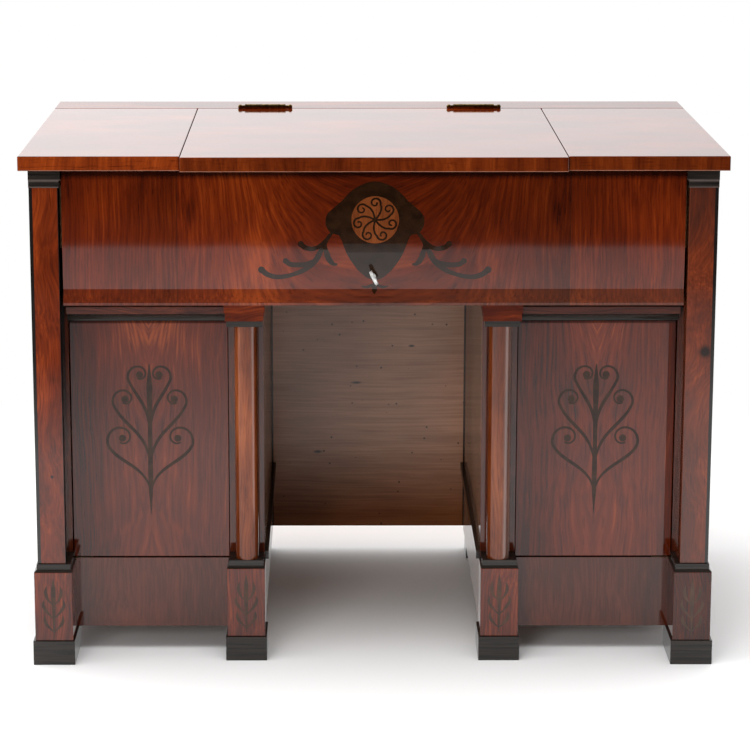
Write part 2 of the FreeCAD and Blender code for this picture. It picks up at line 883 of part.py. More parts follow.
def pivot_plate(low, high):
    """A flat brass plate round the pivot line, at one end of the door."""
    x = (pivot_x - pivot_plate_length + pivot_inset, pivot_x + pivot_inset - pivot_plate_margin)
    y = (door_front + pivot_plate_margin / 2, door_front + pivot_plate_margin / 2 + pivot_plate_width)
    return block(x, y, (low, high))


def pivot_line(radius, low, high):
    return rod(V(pivot_x, pivot_y, low), radius, high - low, Z_AXIS)


def frame_pivots():
    """The two fixed plates with their pins: one on the lower rail, one under the top rail."""
    foot = pivot_plate(rail_top, rail_top + pivot_plate_thickness)
    foot = foot.fuse(pivot_line(pivot_radius, rail_top, door_level + pivot_rise)).removeSplitter()
    head = pivot_plate(top_rail_level - pivot_plate_thickness, top_rail_level)
    head = head.fuse(pivot_line(pivot_radius, door_top - pivot_rise, top_rail_level)).removeSplitter()
    return [foot, head]


def door_plates():
    """The two plates let in flush with the door's ends."""
    return [pivot_plate(door_level, door_level + pivot_plate_thickness),
            pivot_plate(door_top - pivot_plate_thickness, door_top)]


def door_pivots():
    """The door's plates, bored for the pins."""
    bore = pivot_line(pivot_radius + pin_clearance, rail_top, top_rail_level)
    return [plate.cut(bore) for plate in door_plates()]


def door():
    """The door board, with a bed for each plate and a hole for each pin."""
    board = eased(block((door_in, door_out), (door_front, frame_back), (door_level, door_top)))
    hole = pivot_radius + pivot_play
    low_bore = pivot_line(hole, door_level - overrun, door_level + pivot_rise + pivot_play)
    high_bore = pivot_line(hole, door_top - pivot_rise - pivot_play, door_top + overrun)
    return board.cut(door_plates() + [low_bore, high_bore])


write_sides("door", door())
write_both("door_pivot_frame_plates", *frame_pivots())
right_pivots = door_pivots()
write("door_pivot_plates_right", *right_pivots)
write("door_pivot_plates_left", *[mirrored(piece) for piece in right_pivots])
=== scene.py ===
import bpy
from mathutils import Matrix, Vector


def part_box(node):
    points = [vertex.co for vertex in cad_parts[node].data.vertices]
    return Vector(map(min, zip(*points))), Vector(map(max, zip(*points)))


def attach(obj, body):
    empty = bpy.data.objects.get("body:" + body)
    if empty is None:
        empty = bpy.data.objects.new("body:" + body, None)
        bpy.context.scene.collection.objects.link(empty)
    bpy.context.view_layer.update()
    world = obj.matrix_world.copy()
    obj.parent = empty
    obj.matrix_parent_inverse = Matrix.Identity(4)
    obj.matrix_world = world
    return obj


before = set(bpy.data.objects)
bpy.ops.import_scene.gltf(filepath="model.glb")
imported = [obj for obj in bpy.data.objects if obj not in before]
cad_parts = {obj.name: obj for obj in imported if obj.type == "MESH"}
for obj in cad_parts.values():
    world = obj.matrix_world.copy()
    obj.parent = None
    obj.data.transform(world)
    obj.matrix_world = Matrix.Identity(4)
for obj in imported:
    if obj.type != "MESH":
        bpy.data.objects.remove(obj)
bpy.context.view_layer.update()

import math

import bmesh
import bpy
import numpy as np


# Carcase: sides, kneehole walls, rails and posts, made in pine and faced with mahogany veneer.
# The veneer is french polished: deep red-brown wood under a clear, glossy coat.
# Each board's grain runs with its length, so the posts stand upright and the top runs left to right.

UPRIGHT = (0, 0, 0)
ALONG_X = (0, math.radians(90), 0)
ALONG_Y = (math.radians(90), 0, 0)
POLISH_IOR = 1.5
POLISH_ROUGHNESS = 0.07


def shader(tree, kind, settings=None, **inputs):
    """A shader node; each input is a plain value, or another node's output to join to it."""
    made = tree.nodes.new("ShaderNode" + kind)
    for key, value in (settings or {}).items():
        setattr(made, key, value)
    for key, value in inputs.items():
        number = key[2:] if key.startswith("in") else ""
        socket = made.inputs[int(number)] if number.isdigit() else made.inputs[key.replace("_", " ")]
        if isinstance(value, bpy.types.NodeSocket):
            tree.links.new(value, socket)
        else:
            socket.default_value = value
    return made


def maths(tree, operation, first, second=0.0):
    """The output of one sum, product or other operation on two numbers."""
    return shader(tree, "Math", {"operation": operation}, in0=first, in1=second).outputs[0]


def clamped(tree, value, low, high):
    """The value carried from the range low to high onto 0 to 1, and held there."""
    return shader(tree, "MapRange", None, Value=value, From_Min=low, From_Max=high).outputs[0]


def tones(tree, value, stops):
    """A colour ramp: each stop is its place from 0 to 1 and its linear colour."""
    ramp = shader(tree, "ValToRGB", None, Fac=value)
    elements = ramp.color_ramp.elements
    while len(elements) < len(stops):
        elements.new(0.5)
    for element, (place, colour) in zip(elements, stops):
        element.position = place
        element.color = (*colour, 1)
    return ramp.outputs[0]


def over(tree, mask, below, above):
    """One colour laid over another where the mask is 1."""
    return shader(tree, "MixRGB", None, Fac=mask, Color1=below, Color2=above).outputs[0]


def scaled(tree, colour, factor):
    """The colour made lighter or darker by a factor."""
    return shader(tree, "VectorMath", {"operation": "SCALE"}, in0=colour, Scale=factor).outputs[0]


def spot(tree, *parts):
    """A soft spot: e to the power of minus the sum of each ((value - centre) / reach) squared."""
    total = 0.0
    for value, centre, reach in parts:
        off = maths(tree, "DIVIDE", maths(tree, "SUBTRACT", value, centre), reach)
        total = maths(tree, "ADD", maths(tree, "MULTIPLY", off, off), total)
    return maths(tree, "EXPONENT", maths(tree, "MULTIPLY", total, -1.0))


def blank_material(name):
    """A new material with its shader tree, its surface shader and its object coordinates."""
    made = bpy.data.materials.new(name)
    made.use_nodes = True
    tree = made.node_tree
    surface = tree.nodes["Principled BSDF"]
    coordinates = tree.nodes.new("ShaderNodeTexCoord").outputs["Object"]
    return made, tree, surface, coordinates


def turned(tree, coordinates, turn, seed):
    """The coordinates turned so that the grain runs along z, and moved by the seed."""
    return shader(tree, "Mapping", None, Vector=coordinates, Rotation=turn,
                  Location=(seed * 1.7, seed * 2.3, seed * 3.1)).outputs[0]


def drawn_out(tree, place, scale, stretch, detail):
    """Noise drawn out along z, with its middle range carried onto 0 to 1."""
    squeezed = shader(tree, "VectorMath", {"operation": "MULTIPLY"}, in0=place,
                      in1=(1.0, 1.0, 1.0 / stretch)).outputs[0]
    noise = shader(tree, "TexNoise", None, Vector=squeezed, Scale=scale, Detail=detail, Roughness=0.55)
    return clamped(tree, noise.outputs["Fac"], 0.3, 0.7)


def grain(tree, place, band=0.42, line=0.28, patch=0.30, wave=0.06):
    """Wood grain from 0 to 1. A slow noise sways the coordinates from side to side. Bands, fine lines and
    slow patches are then added up, each of them noise that is drawn out along z."""
    sway = shader(tree, "TexNoise", None, Vector=place, Scale=4.0, Detail=2.0).outputs["Color"]
    sway = shader(tree, "VectorMath", {"operation": "SUBTRACT"}, in0=sway, in1=(0.5, 0.5, 0.5)).outputs[0]
    bent = shader(tree, "VectorMath", {"operation": "MULTIPLY_ADD"}, in0=sway, in1=(wave, wave, 0.0),
                  in2=place).outputs[0]
    total = maths(tree, "MULTIPLY", drawn_out(tree, bent, 48, 9, 4.0), band)
    total = maths(tree, "ADD", total, maths(tree, "MULTIPLY", drawn_out(tree, bent, 300, 45, 2.0), line))
    return maths(tree, "ADD", total, maths(tree, "MULTIPLY", drawn_out(tree, bent, 10, 2.2, 3.0), patch))


def polished(surface, under_roughness=0.4, coat=1.0, coat_roughness=POLISH_ROUGHNESS):
    """Sets the clear polish over the colour: a smooth coat that reflects, over a duller ground."""
    surface.inputs["Roughness"].default_value = under_roughness
    surface.inputs["Specular IOR Level"].default_value = 0.0
    surface.inputs["Coat Weight"].default_value = coat
    surface.inputs["Coat Roughness"].default_value = coat_roughness
    surface.inputs["Coat IOR"].default_value = POLISH_IOR


def finish_veneer(tree, surface, place, colour, coat=1.0):
    """Puts short dark pores into the colour and polish over it. The coat follows a slow swell of the wood,
    so what it reflects is bent a little."""
    squeezed = shader(tree, "VectorMath", {"operation": "MULTIPLY"}, in0=place,
                      in1=(1.0, 1.0, 0.045)).outputs[0]
    fibre = shader(tree, "TexNoise", None, Vector=squeezed, Scale=620.0, Detail=2.0).outputs["Fac"]
    pore = maths(tree, "MULTIPLY", clamped(tree, fibre, 0.58, 0.72), 0.6)
    darker = shader(tree, "MixRGB", {"blend_type": "MULTIPLY"}, Fac=pore, Color1=colour,
                    Color2=(0.28, 0.18, 0.16, 1)).outputs[0]
    tree.links.new(darker, surface.inputs["Base Color"])
    swell = shader(tree, "TexNoise", None, Vector=place, Scale=5.0, Detail=1.0).outputs["Fac"]
    level = shader(tree, "Bump", None, Strength=0.25, Distance=0.002, Height=swell).outputs[0]
    tree.links.new(level, surface.inputs["Coat Normal"])
    tree.links.new(shader(tree, "Bump", None, Strength=0.12, Distance=0.0003, Height=fibre).outputs[0],
                   surface.inputs["Normal"])
    polished(surface, coat=coat)


def veneer(name, turn, seed, stops, light=1.0, coat=1.0, **weights):
    """Polished veneer whose grain runs one way over the whole piece."""
    made, tree, surface, coordinates = blank_material(name)
    place = turned(tree, coordinates, turn, seed)
    colour = scaled(tree, tones(tree, grain(tree, place, **weights), stops), light)
    finish_veneer(tree, surface, place, colour, coat)
    return made


RED_BROWN = [(0.15, (0.040, 0.0045, 0.0009)), (0.40, (0.080, 0.0088, 0.0012)), (0.62, (0.138, 0.017, 0.0021)),
             (0.85, (0.26, 0.040, 0.0046))]
DEEP_BROWN = [(0.15, (0.022, 0.004, 0.002)), (0.40, (0.048, 0.009, 0.004)), (0.62, (0.085, 0.016, 0.006)),
              (0.85, (0.15, 0.032, 0.010))]
RAIL_BROWN = [(0.15, (0.040, 0.0080, 0.0035)), (0.45, (0.062, 0.0115, 0.0048)),
              (0.85, (0.105, 0.0205, 0.0075))]
QUIET = {"band": 0.20, "line": 0.40, "patch": 0.40}
KNEEHOLE_BROWN = [(0.15, (0.07, 0.036, 0.024)), (0.5, (0.20, 0.11, 0.07)), (0.85, (0.31, 0.18, 0.12))]


def dress(material, *nodes):
    """Gives a CAD node's pieces that finish."""
    for node in nodes:
        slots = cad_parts[node].data.materials
        slots.clear()
        slots.append(material)


dress(veneer("mahogany_sides", UPRIGHT, 1, RED_BROWN), "side_panel_left", "side_panel_right")
dress(veneer("stained_kneehole_walls", UPRIGHT, 2, KNEEHOLE_BROWN, coat=0.55), "kneehole_wall_left",
      "kneehole_wall_right")
dress(veneer("mahogany_frame", UPRIGHT, 3, DEEP_BROWN), "door_jambs", "column_stiles", "cupboard_top_rails")
dress(veneer("mahogany_lower_rails", UPRIGHT, 4.3, RAIL_BROWN, 1.05, **QUIET), "lower_rails")
dress(veneer("mahogany_fillet", ALONG_X, 5, DEEP_BROWN, coat=0.6), "door_fillets")


# Pilasters and columns: posts faced on three sides, and turned shafts with square blocks over and under.
# A black line is let into each pilaster's outer edge, and the left one's face towards its door is black.
# The shafts are solid mahogany, waxed and polished, and catch a long bright streak. The left shaft is
# painted darker as shade on its kneehole side, and the right one has a pale painted highlight on its other
# side.

ORANGE_BROWN = [(0.15, (0.070, 0.013, 0.003)), (0.40, (0.145, 0.029, 0.007)), (0.62, (0.24, 0.055, 0.014)),
                (0.85, (0.38, 0.10, 0.028))]
BLACK = (0.010, 0.008, 0.007, 1)
WARM_BROWN = (0.12, 0.026, 0.010, 1)
STRING_WIDTH = 0.0055
SKIN = 0.0008


def pilaster_veneer(node, seed, knots, fresh, worn, worn_coat, light, glow, painted_haze, inner_face):
    """Mottled veneer with its black line, its plain inner face and dark knots given by x, z, radius. The
    polish is fresh below one height and worn above another, so the lower part mirrors the floor more. A
    thin grey painted haze, standing for reflection, lies over all of it. The figure glows a little halfway
    up."""
    low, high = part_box(node)
    outer = max(abs(low[0]), abs(high[0]))
    inner = min(abs(low[0]), abs(high[0]))
    made, tree, surface, coordinates = blank_material("mahogany_" + node)
    x, y, z = shader(tree, "SeparateXYZ", None, Vector=coordinates).outputs
    place = turned(tree, coordinates, UPRIGHT, seed)
    value = maths(tree, "ADD", grain(tree, place, 0.26, 0.26, 0.48, 0.14),
                  maths(tree, "MULTIPLY", spot(tree, (z, 0.46, 0.09)), glow))
    # The grey laid over the colour here is a painted haze of reflection.
    colour = over(tree, painted_haze, scaled(tree, tones(tree, value, RED_BROWN), light), (0.11, 0.075, 0.055, 1))
    for knot_x, knot_z, radius in knots:
        dark = spot(tree, (x, knot_x, radius), (z, knot_z, radius))
        colour = over(tree, clamped(tree, dark, 0.2, 0.8), colour, (0.012, 0.004, 0.002, 1))
    aside = maths(tree, "ABSOLUTE", x)
    line = maths(tree, "MULTIPLY", maths(tree, "GREATER_THAN", aside, outer - STRING_WIDTH),
                 maths(tree, "LESS_THAN", y, low[1] + SKIN))
    face = maths(tree, "LESS_THAN", aside, inner + SKIN)
    colour = over(tree, face, over(tree, line, colour, BLACK), inner_face)
    finish_veneer(tree, surface, place, colour)
    coat = shader(tree, "MapRange", None, Value=z, From_Min=fresh, From_Max=worn, To_Min=1.0,
                  To_Max=worn_coat).outputs[0]
    tree.links.new(coat, surface.inputs["Coat Weight"])
    return made


# The left pilaster is painted lighter than the right, as painted light from the left.
dress(pilaster_veneer("pilaster_left", 6.1, knots=[(-0.5093, 0.309, 0.003)], fresh=0.34, worn=0.50,
                      worn_coat=0.12, light=1.12, glow=0.22, painted_haze=0.05, inner_face=BLACK),
      "pilaster_left")
dress(pilaster_veneer("pilaster_right", 7.4, knots=[(0.5209, 0.5114, 0.011)], fresh=0.42, worn=0.60,
                      worn_coat=0.4, light=0.95, glow=0.0, painted_haze=0.15, inner_face=WARM_BROWN),
      "pilaster_right")
dress(veneer("mahogany_plinths", UPRIGHT, 8, RED_BROWN, 0.8, **QUIET), "pilaster_plinth_left",
      "column_plinth_left", "column_plinth_right")
dress(veneer("mahogany_plinth_dark", UPRIGHT, 8.6, RED_BROWN, 0.38, 0.9, **QUIET), "pilaster_plinth_right")
dress(veneer("mahogany_capitals", ALONG_X, 9, RED_BROWN, 0.85, 0.25), "column_capitals")


def column_veneer(node, seed, light, coat, kneehole_shade, painted_streak):
    """Turned mahogany with painted shade on the side that looks into the kneehole, and a painted pale
    highlight, standing for a reflection in the polish, on the other side."""
    low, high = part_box(node)
    radius = (high[0] - low[0]) / 2
    axis = abs(low[0] + high[0]) / 2
    made, tree, surface, coordinates = blank_material("mahogany_" + node)
    x = shader(tree, "SeparateXYZ", None, Vector=coordinates).outputs[0]
    place = turned(tree, coordinates, UPRIGHT, seed)
    colour = tones(tree, grain(tree, place, 0.40, 0.20, 0.40, 0.05), ORANGE_BROWN)
    inward = maths(tree, "DIVIDE", maths(tree, "SUBTRACT", axis, maths(tree, "ABSOLUTE", x)), radius)
    # Painted shade on the side that looks into the kneehole.
    shade = maths(tree, "MULTIPLY", clamped(tree, inward, 0.65, 0.95), kneehole_shade)
    outward = clamped(tree, maths(tree, "MULTIPLY", inward, -1.0), 0.25, 0.75)
    colour = scaled(tree, colour, maths(tree, "SUBTRACT", light, shade))
    # Painted pale highlight on the side away from the kneehole.
    colour = over(tree, maths(tree, "MULTIPLY", outward, painted_streak), colour, (0.15, 0.13, 0.12, 1))
    finish_veneer(tree, surface, place, colour, coat)
    return made


dress(column_veneer("column_left", 10, light=0.88, coat=0.85, kneehole_shade=0.5, painted_streak=0.0), "column_left")
dress(column_veneer("column_right", 10.6, light=0.74, coat=0.88, kneehole_shade=0.0, painted_streak=0.45), "column_right")


# Ebonised members: bases, neckings, feet, mouldings and the pilasters' capitals, of fruitwood stained black,
# polished and fixed to the carcase. The capitals show a pale line at their foot and under their ledge, where
# the black is worn and a highlight is painted along the arris. The hollows round the doors are duller than
# the rest.

LEDGE_SHARE = 0.42
LEDGE_WEAR_AND_HIGHLIGHT_DROP = 0.0006
LEDGE_WEAR_AND_HIGHLIGHT = 0.0019
FOOT_WEAR_AND_HIGHLIGHT = 0.0016


def ebonised(name, coat, wear_and_highlights=()):
    """Black polish over wood: a dark ground with faint grain that shines more where it is worn. At the
    heights given, each with half its width, a thin pale line is painted: worn black and a painted highlight
    along the arris."""
    made, tree, surface, coordinates = blank_material(name)
    lengthwise = shader(tree, "Mapping", None, Vector=coordinates, Scale=(1.0, 30.0, 30.0)).outputs[0]
    lines = shader(tree, "TexNoise", None, Vector=lengthwise, Scale=9.0, Detail=4.0).outputs["Fac"]
    colour = tones(tree, lines, [(0.35, (0.008, 0.007, 0.006)), (0.7, (0.028, 0.021, 0.017))])
    z = shader(tree, "SeparateXYZ", None, Vector=coordinates).outputs[2]
    for height, half_width in wear_and_highlights:
        colour = over(tree, spot(tree, (z, height, half_width)), colour, (0.11, 0.085, 0.075, 1))
    tree.links.new(colour, surface.inputs["Base Color"])
    polished(surface, 0.45, coat, 0.12)
    wear = shader(tree, "TexNoise", None, Vector=coordinates, Scale=55.0, Detail=5.0)
    tree.links.new(shader(tree, "MapRange", None, Value=wear.outputs["Fac"], From_Min=0.35, From_Max=0.7,
                          To_Min=0.35, To_Max=0.6).outputs[0], surface.inputs["Roughness"])
    return made


dress(ebonised("ebonised_wood_polished", 0.65), "pilaster_bases", "column_bases", "column_neckings",
      "front_feet", "rear_feet", "kneehole_base_mouldings")
capital_low, capital_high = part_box("pilaster_capitals")
capital_foot = capital_low[2]
capital_ledge = capital_foot + LEDGE_SHARE * (capital_high[2] - capital_foot)
# The two pale lines are worn black and painted highlights along the capitals' arrises.
dress(ebonised("ebonised_wood_capitals", 0.65,
               [(capital_foot, FOOT_WEAR_AND_HIGHLIGHT), (capital_ledge - LEDGE_WEAR_AND_HIGHLIGHT_DROP, LEDGE_WEAR_AND_HIGHLIGHT)]),
      "pilaster_capitals")
dress(ebonised("ebonised_wood_dull", 0.45), "door_hollows")


# Inner boards: pine and oak, oiled but hardly polished, with open grain. The back board shows in the
# kneehole, and it is the only one with knots, wormholes and an old varnish.

def plain_wood(name, turn, seed, stops, age=None):
    """Unpolished board with straight grain. Age, if given, adds marks and shading to the colour."""
    made, tree, surface, coordinates = blank_material(name)
    place = turned(tree, coordinates, turn, seed)
    colour = tones(tree, grain(tree, place, 0.22, 0.38, 0.40, 0.012), stops)
    if age:
        colour = age(tree, surface, coordinates, colour)
    tree.links.new(colour, surface.inputs["Base Color"])
    surface.inputs["Roughness"].default_value = 0.62
    surface.inputs["Specular IOR Level"].default_value = 0.25
    fibre = drawn_out(tree, place, 260, 16, 3.0)
    tree.links.new(shader(tree, "Bump", None, Strength=0.2, Distance=0.0004, Height=fibre).outputs[0],
                   surface.inputs["Normal"])
    return made


KNOTS = [(-0.022, 0.315, 0.010, 0.0025), (-0.092, 0.186, 0.008, 0.003), (0.078, 0.552, 0.004, 0.003),
         (0.078, 0.383, 0.006, 0.0025), (-0.028, 0.505, 0.002, 0.004), (-0.079, 0.508, 0.002, 0.004)]
WALL_GAP = 0.0018
DIM_TOP = 0.21
DIM_FOOT = 0.07


def old_back_board(tree, surface, coordinates, colour):
    """Knots given by x, z and two reaches, small wormholes, a painted shadow in the gap beside each kneehole
    wall, and painted shade that darkens the foot and turns it more orange; the foot has also lost its
    varnish."""
    x, y, z = shader(tree, "SeparateXYZ", None, Vector=coordinates).outputs
    dark = (0.022, 0.011, 0.006, 1)
    for knot_x, knot_z, reach_x, reach_z in KNOTS:
        knot = clamped(tree, spot(tree, (x, knot_x, reach_x), (z, knot_z, reach_z)), 0.2, 0.8)
        colour = over(tree, knot, colour, dark)
    cells = shader(tree, "TexVoronoi", None, Vector=coordinates, Scale=42.0).outputs["Distance"]
    colour = over(tree, clamped(tree, cells, 0.10, 0.05), colour, dark)
    wall_low, wall_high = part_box("kneehole_wall_right")
    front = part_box("back_panel")[0][1]
    aside = maths(tree, "ABSOLUTE", x)
    # Painted shadow: a near-black strip where the gap beside each kneehole wall lies in shade.
    gap_shadow = maths(tree, "MULTIPLY", maths(tree, "GREATER_THAN", aside, wall_low[0] - WALL_GAP),
                maths(tree, "LESS_THAN", aside, wall_high[0]))
    gap_shadow = maths(tree, "MULTIPLY", gap_shadow, maths(tree, "LESS_THAN", y, front + SKIN))
    colour = over(tree, gap_shadow, colour, (0.006, 0.004, 0.003, 1))
    # Painted shade: below DIM_TOP the colour is darkened and turned orange towards the foot.
    bright = clamped(tree, z, DIM_FOOT, DIM_TOP)
    varnish = maths(tree, "MULTIPLY", bright, 0.75)
    tree.links.new(varnish, surface.inputs["Coat Weight"])
    surface.inputs["Coat Roughness"].default_value = 0.2
    shaded_foot = shader(tree, "VectorMath", {"operation": "MULTIPLY"}, in0=colour,
                   in1=(0.42, 0.26, 0.12)).outputs[0]
    return over(tree, bright, shaded_foot, colour)


OAK = [(0.2, (0.12, 0.060, 0.025)), (0.5, (0.24, 0.135, 0.062)), (0.8, (0.36, 0.22, 0.11))]
OLD_BOARD = [(0.2, (0.27, 0.125, 0.070)), (0.5, (0.38, 0.185, 0.105)), (0.8, (0.49, 0.25, 0.15))]

dress(plain_wood("oak_across", ALONG_X, 1.1, OAK), "carrier_board", "cupboard_floors", "cupboard_shelves",
      "well_floor", "well_front_wall", "well_back_wall", "drawer_back", "drawer_bottom")
dress(plain_wood("oak_front_to_back", ALONG_Y, 2.2, OAK), "well_partitions", "drawer_sides", "drawer_guides")
dress(plain_wood("back_boards", ALONG_X, 3.3, OLD_BOARD, old_back_board), "back_panel")


# The top: a lid, two flaps and a strip at the back, which alone is fixed down. The veneer runs from left to
# right on their faces. The edges are cross-banded, so there the grain stands upright.

WEAR_AND_HIGHLIGHT_ARRIS = 0.0012
EDGE_BROWN = [(0.15, (0.085, 0.010, 0.001)), (0.40, (0.15, 0.021, 0.003)), (0.62, (0.22, 0.033, 0.004)),
              (0.85, (0.34, 0.060, 0.008))]


def top_veneer(name, node, seed, light):
    """Grain along x on the upper and lower faces, upright grain on the edges between them, and a pale line
    along the lower arris, where the polish is worn and a highlight is painted."""
    low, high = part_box(node)
    made, tree, surface, coordinates = blank_material(name)
    z = shader(tree, "SeparateXYZ", None, Vector=coordinates).outputs[2]
    flat = turned(tree, coordinates, ALONG_X, seed)
    upright = turned(tree, coordinates, UPRIGHT, seed)
    edge = maths(tree, "MULTIPLY", maths(tree, "GREATER_THAN", z, low[2] + SKIN),
                 maths(tree, "LESS_THAN", z, high[2] - SKIN))
    faces = tones(tree, grain(tree, flat, 0.26, 0.42, 0.32, 0.03), RED_BROWN)
    edges = scaled(tree, tones(tree, grain(tree, upright, 0.45, 0.25, 0.30), EDGE_BROWN), light)
    # Painted highlight, with wear, along the lower arris.
    arris = maths(tree, "MULTIPLY", maths(tree, "GREATER_THAN", z, low[2] + WEAR_AND_HIGHLIGHT_ARRIS * 0.1),
                  maths(tree, "LESS_THAN", z, low[2] + WEAR_AND_HIGHLIGHT_ARRIS))
    colour = over(tree, arris, over(tree, edge, faces, edges), (0.24, 0.11, 0.07, 1))
    finish_veneer(tree, surface, flat, colour)
    return made


# The edges are painted lighter on the left flap and darker on the right, as painted light from the left.
dress(top_veneer("mahogany_lid", "lid", 12, 0.58), "lid")
dress(veneer("mahogany_rear_strip", ALONG_X, 12.8, RED_BROWN, coat=0.85), "rear_top_strip")
dress(top_veneer("mahogany_flap_left", "flap_left", 13.5, 0.95), "flap_left")
dress(top_veneer("mahogany_flap_right", "flap_right", 14.1, 0.52), "flap_right")


# Doors: crotch mahogany, book-matched about the stem, with a scrolled spray let into each.
# Three pairs of scrolls grow out of a tapering stem, the lowest pair the widest.

DOOR_BROWN = [(0.00, (0.026, 0.0040, 0.0012)), (0.25, (0.060, 0.0072, 0.0016)),
              (0.50, (0.088, 0.0102, 0.0019)), (0.75, (0.125, 0.0170, 0.0029)),
              (1.00, (0.25, 0.0430, 0.0065))]


def crotch(tree, coordinates, middle, head, width, lift, depth):
    """Coordinates that bend upright grain into a crotch flame, matched left and right of the middle.
    With drop = depth (1 - e^((z - head) / depth)), the distance across the grain is
    width ln(lift e^(|x - middle| / width) + drop), and the distance along it is |x - middle| + z."""
    x, y, z = shader(tree, "SeparateXYZ", None, Vector=coordinates).outputs
    aside = maths(tree, "ABSOLUTE", maths(tree, "SUBTRACT", x, middle))
    fall = maths(tree, "EXPONENT", maths(tree, "DIVIDE", maths(tree, "SUBTRACT", z, head), depth))
    drop = maths(tree, "MULTIPLY", maths(tree, "SUBTRACT", 1.0, fall), depth)
    spread = maths(tree, "MULTIPLY", maths(tree, "EXPONENT", maths(tree, "DIVIDE", aside, width)), lift)
    across = maths(tree, "LOGARITHM", maths(tree, "ADD", spread, drop), math.e)
    return shader(tree, "CombineXYZ", None, X=maths(tree, "MULTIPLY", across, width), Y=y,
                  Z=maths(tree, "ADD", aside, z)).outputs[0]


def door_veneer(node, seed, glow, shadow_x, light, top_coat, right_band):
    """Flame veneer that glows orange under the door's top. A painted shadow, cast by the pilaster beside the
    left door and by the column beside the right one, darkens the veneer along the door's left side and dulls
    its polish a little. A painted shadow darkens the strip under the moulding. The polish thins towards
    top_coat up the door, and along a band of width right_band at the right the colour is darker and the coat
    has mostly gone."""
    low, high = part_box(node)
    made, tree, surface, coordinates = blank_material("mahogany_" + node)
    x, y, z = shader(tree, "SeparateXYZ", None, Vector=coordinates).outputs
    middle = (low[0] + high[0]) / 2
    flame = crotch(tree, coordinates, middle, high[2] + 0.02, 0.035, 0.03, 0.07)
    place = turned(tree, flame, UPRIGHT, seed)
    value = grain(tree, place, 0.14, 0.50, 0.36, 0.03)
    bright = spot(tree, (x, middle, 0.075), (z, high[2] - 0.025, 0.06))
    value = maths(tree, "ADD", value, maths(tree, "MULTIPLY", bright, glow))
    # Painted shadow of the upright at the door's left side.
    dull = spot(tree, (x, shadow_x, 0.06))
    value = maths(tree, "SUBTRACT", value, maths(tree, "MULTIPLY", dull, 0.36))
    # Painted shadow in the strip under the moulding.
    shadow = clamped(tree, z, high[2] - 0.005, high[2] - 0.003)
    worn = maths(tree, "GREATER_THAN", x, high[0] - right_band)
    kept = maths(tree, "SUBTRACT", 1.0, maths(tree, "MULTIPLY", maths(tree, "MAXIMUM", shadow, worn), 0.7))
    dimmed = maths(tree, "SUBTRACT", light, maths(tree, "MULTIPLY", worn, 0.35))
    unshadowed = maths(tree, "SUBTRACT", 1.0, maths(tree, "MULTIPLY", shadow, 0.6))
    dimmed = maths(tree, "MULTIPLY", dimmed, unshadowed)
    finish_veneer(tree, surface, place, scaled(tree, tones(tree, value, DOOR_BROWN), dimmed))
    coat = shader(tree, "MapRange", None, Value=z, From_Min=0.35, From_Max=0.55, To_Min=1.0,
                  To_Max=top_coat).outputs[0]
    coat = maths(tree, "SUBTRACT", coat, maths(tree, "MULTIPLY", dull, 0.12))
    tree.links.new(maths(tree, "MULTIPLY", coat, kept), surface.inputs["Coat Weight"])
    return made


dress(door_veneer("door_left", 14.2, glow=0.42, shadow_x=-0.485, light=1.0, top_coat=0.78, right_band=0.0),
      "door_left")
dress(door_veneer("door_right", 15.7, glow=0.30, shadow_x=0.255, light=1.22, top_coat=1.0, right_band=0.0117),
      "door_right")

INLAY_PROUD = 0.00012
INLAY_DEPTH = 0.0006
MM = 0.001


def through(knots, steps=14):
    """A smooth line through the knots. Between two of them it is the cubic whose slope at each end is
    half the step between that end's neighbours."""
    knots = np.asarray(knots, float)
    padded = np.vstack([2 * knots[0] - knots[1], knots, 2 * knots[-1] - knots[-2]])
    before, first, second, after = padded[:-3], padded[1:-2], padded[2:-1], padded[3:]
    t = np.linspace(0, 1, steps, endpoint=False)[None, :, None]
    before, first, second, after = (k[:, None, :] for k in (before, first, second, after))
    line = 0.5 * (2 * first + (second - before) * t + (2 * before - 5 * first + 4 * second - after) * t ** 2
                  + (3 * first - before - 3 * second + after) * t ** 3)
    return np.vstack([line.reshape(-1, knots.shape[1]), knots[-1]])


def bezier(start, pull_start, pull_end, end, steps=24):
    """The cubic from start to end that leaves towards one pull point and arrives from the other."""
    t = np.linspace(0, 1, steps)[:, None]
    start, pull_start, pull_end, end = (np.asarray(p, float) for p in (start, pull_start, pull_end, end))
    return ((1 - t) ** 3 * start + 3 * t * (1 - t) ** 2 * pull_start + 3 * t ** 2 * (1 - t) * pull_end
            + t ** 3 * end)


def strip(line, widths):
    """Two edges along a line of x, z, w: half the width out on each side of its direction. The widths
    are spread evenly along the line's length."""
    line = np.asarray(line, float)
    step = np.gradient(line, axis=0)
    step /= np.linalg.norm(step, axis=1)[:, None] + 1e-9
    length = np.concatenate([[0], np.cumsum(np.linalg.norm(np.diff(line, axis=0), axis=1))])
    half = np.interp(length / length[-1], np.linspace(0, 1, len(widths)), widths)[:, None] / 2
    side = np.stack([-step[:, 1], step[:, 0]], axis=1)
    return np.stack([line - side * half, line + side * half], axis=1)


def disc(centre, radius, rings=2, steps=40):
    """A round patch as a grid: the same circle drawn at growing radii about its centre."""
    angle = np.linspace(0, 2 * np.pi, steps)
    reach = np.linspace(0, radius, rings)[None, :, None]
    circle = np.stack([np.cos(angle), np.sin(angle)], axis=1)[:, None, :]
    return np.asarray(centre, float) + circle * reach


